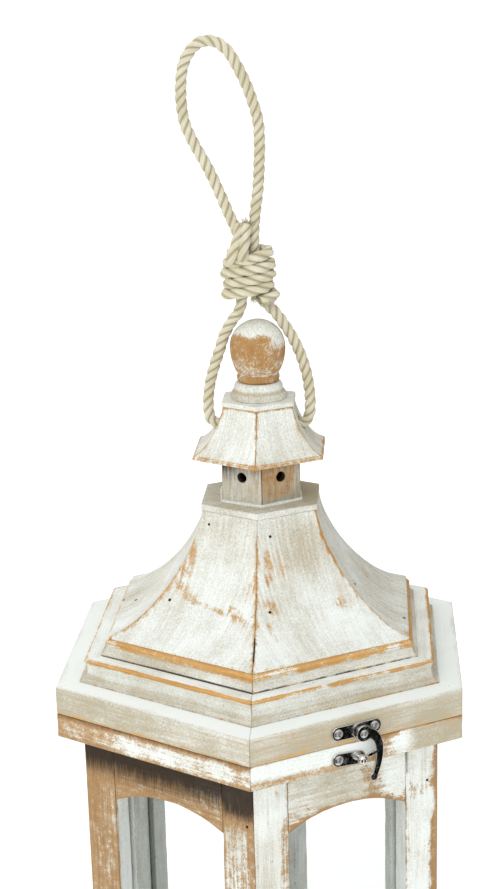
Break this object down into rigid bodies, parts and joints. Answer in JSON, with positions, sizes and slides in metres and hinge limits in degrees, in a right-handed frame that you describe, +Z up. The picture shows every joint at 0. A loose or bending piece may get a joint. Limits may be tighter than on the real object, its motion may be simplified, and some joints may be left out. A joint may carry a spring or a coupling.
{
  "type": "candle lantern",
  "caption": "Hexagonal whitewashed wooden candle lantern with arched windows, a hinged lid with a curved roof, a ball finial and a knotted rope handle.",
  "frame": {"origin": "centre of the underside of the plinth", "axes": "+Z up the lantern, -Y out of the face with the clasp, +Y out of the face with the hinges"},
  "size_m": [0.28, 0.2556, 0.7403],
  "materials": {
    "whitewashed_wood": "brushed whitewash worn through to tan wood",
    "bare_wood": "tan wood with rubbed white paint",
    "clear_glass": "clear window glass",
    "nickel": "polished nickel plate",
    "cotton_rope": "three-strand natural cotton"
  },
  "bodies": {
    "lantern_body": {"plinth": "whitewashed_wood", "corner_post_1": "whitewashed_wood", "corner_post_2": "whitewashed_wood", "corner_post_3": "whitewashed_wood", "corner_post_4": "whitewashed_wood", "corner_post_5": "whitewashed_wood", "corner_post_6": "whitewashed_wood", "arched_header_1": "whitewashed_wood", "arched_header_2": "whitewashed_wood", "arched_header_3": "whitewashed_wood", "arched_header_4": "whitewashed_wood", "arched_header_5": "whitewashed_wood", "arched_header_6": "whitewashed_wood", "sills": "whitewashed_wood", "glazing_beads": "whitewashed_wood", "floor_board": "bare_wood", "base_rail": "bare_wood", "top_rail": "bare_wood", "glass_pane_1": "clear_glass", "glass_pane_2": "clear_glass", "glass_pane_3": "clear_glass", "glass_pane_4": "clear_glass", "glass_pane_5": "clear_glass", "glass_pane_6": "clear_glass", "hinge_body_leaves": "nickel", "hinge_pins": "nickel", "hinge_body_screws": "nickel", "keeper_plate": "nickel", "keeper_screw": "nickel"},
    "lid": {"lid_board": "whitewashed_wood", "lower_tier": "whitewashed_wood", "upper_tier": "whitewashed_wood", "roof_panel_1": "whitewashed_wood", "roof_panel_2": "whitewashed_wood", "roof_panel_3": "whitewashed_wood", "roof_panel_4": "whitewashed_wood", "roof_panel_5": "whitewashed_wood", "roof_panel_6": "whitewashed_wood", "roof_top_plate": "whitewashed_wood", "vent_drum": "whitewashed_wood", "cap_deck": "whitewashed_wood", "cap_panel_1": "whitewashed_wood", "cap_panel_2": "whitewashed_wood", "cap_panel_3": "whitewashed_wood", "cap_panel_4": "whitewashed_wood", "cap_panel_5": "whitewashed_wood", "cap_panel_6": "whitewashed_wood", "cap_top": "whitewashed_wood", "finial_base": "whitewashed_wood", "finial_ball": "bare_wood", "hinge_lid_leaves": "nickel", "hinge_lid_screws": "nickel", "latch_plate": "nickel", "latch_screws": "nickel", "latch_pivot": "nickel"},
    "latch_hook": {"latch_hook": "nickel"},
    "rope_handle": {"rope": "cotton_rope", "rope_knot": "cotton_rope", "rope_stoppers": "cotton_rope"}
  },
  "joints": [
    {"name": "lid_hinge", "type": "hinge", "parent": "lantern_body", "child": "lid", "pos_m": [0, 0.12434, 0.348], "axis": [-1, 0, 0], "range_deg": [0, 105]},
    {"name": "latch_swing", "type": "hinge", "parent": "lid", "child": "latch_hook", "pos_m": [0.0008, -0.12474, 0.3539], "axis": [0, -1, 0], "range_deg": [0, 110]},
    {"name": "rope_swing", "type": "hinge", "parent": "lid", "child": "rope_handle", "pos_m": [0, 0, 0.5091], "axis": [0.866, -0.5, 0], "range_deg": [-90, 90]}
  ]
}
